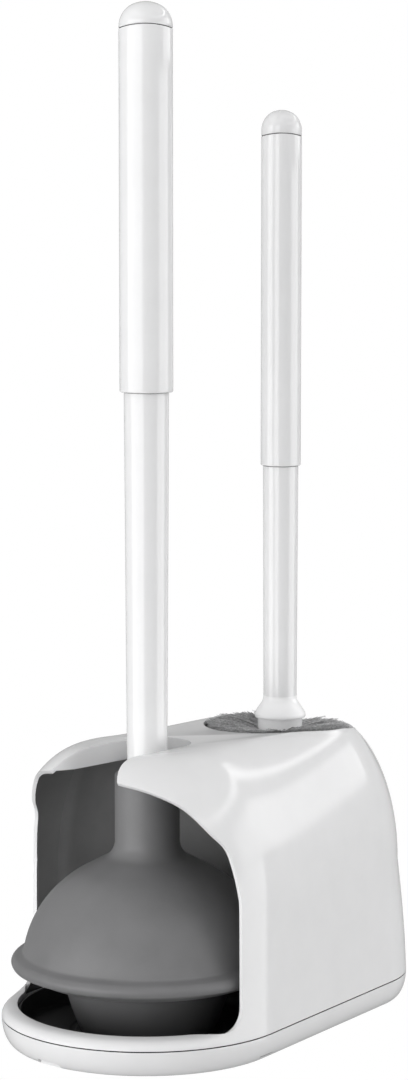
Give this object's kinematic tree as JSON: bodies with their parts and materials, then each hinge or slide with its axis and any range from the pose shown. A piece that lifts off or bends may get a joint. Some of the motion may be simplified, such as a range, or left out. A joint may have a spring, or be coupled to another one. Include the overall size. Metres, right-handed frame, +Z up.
{
  "type": "toilet plunger",
  "caption": "White floor caddy holding a flanged rubber toilet plunger and a matching bowl brush, both lifting out.",
  "frame": {"origin": "centre of the footprint, on the floor under the foot pads", "axes": "+Z up along the handles, -Y towards the plunger end, X across the caddy, which is symmetric left to right"},
  "size_m": [0.168, 0.284, 0.592],
  "materials": {
    "white_shell": "gloss",
    "white_handle": "gloss",
    "dark_liner": "satin",
    "black_tray": "satin",
    "black_rubber": "matte",
    "grey_rubber": "matte",
    "bristle": "fibrous",
    "steel": "zinc plated"
  },
  "bodies": {
    "caddy": {"caddy_shell": "white_shell", "base_tray": "white_shell", "bay_liner": "dark_liner", "drip_tray": "black_tray", "brush_cup": "dark_liner", "foot_pads": "black_rubber", "base_screws": "steel"},
    "plunger": {"plunger_cup": "grey_rubber", "cup_flange": "grey_rubber", "neck_insert": "white_handle", "cup_washer": "steel", "cup_screw": "steel", "plunger_tube": "white_handle", "plunger_core": "steel", "plunger_grip": "white_handle", "plunger_cap": "white_handle"},
    "brush": {"brush_bristles": "bristle", "brush_spindle": "white_handle", "brush_collar": "white_handle", "brush_tube": "white_handle", "brush_core": "steel", "brush_grip": "white_handle", "brush_cap": "white_handle", "brush_screw": "steel"}
  },
  "joints": [
    {"name": "plunger_out", "type": "slide", "parent": "caddy", "child": "plunger", "axis": [0, -0.891, 0.454], "range_m": [0, 0.2]},
    {"name": "brush_lift", "type": "slide", "parent": "caddy", "child": "brush", "axis": [0, 0, 1], "range_m": [0, 0.19]}
  ]
}
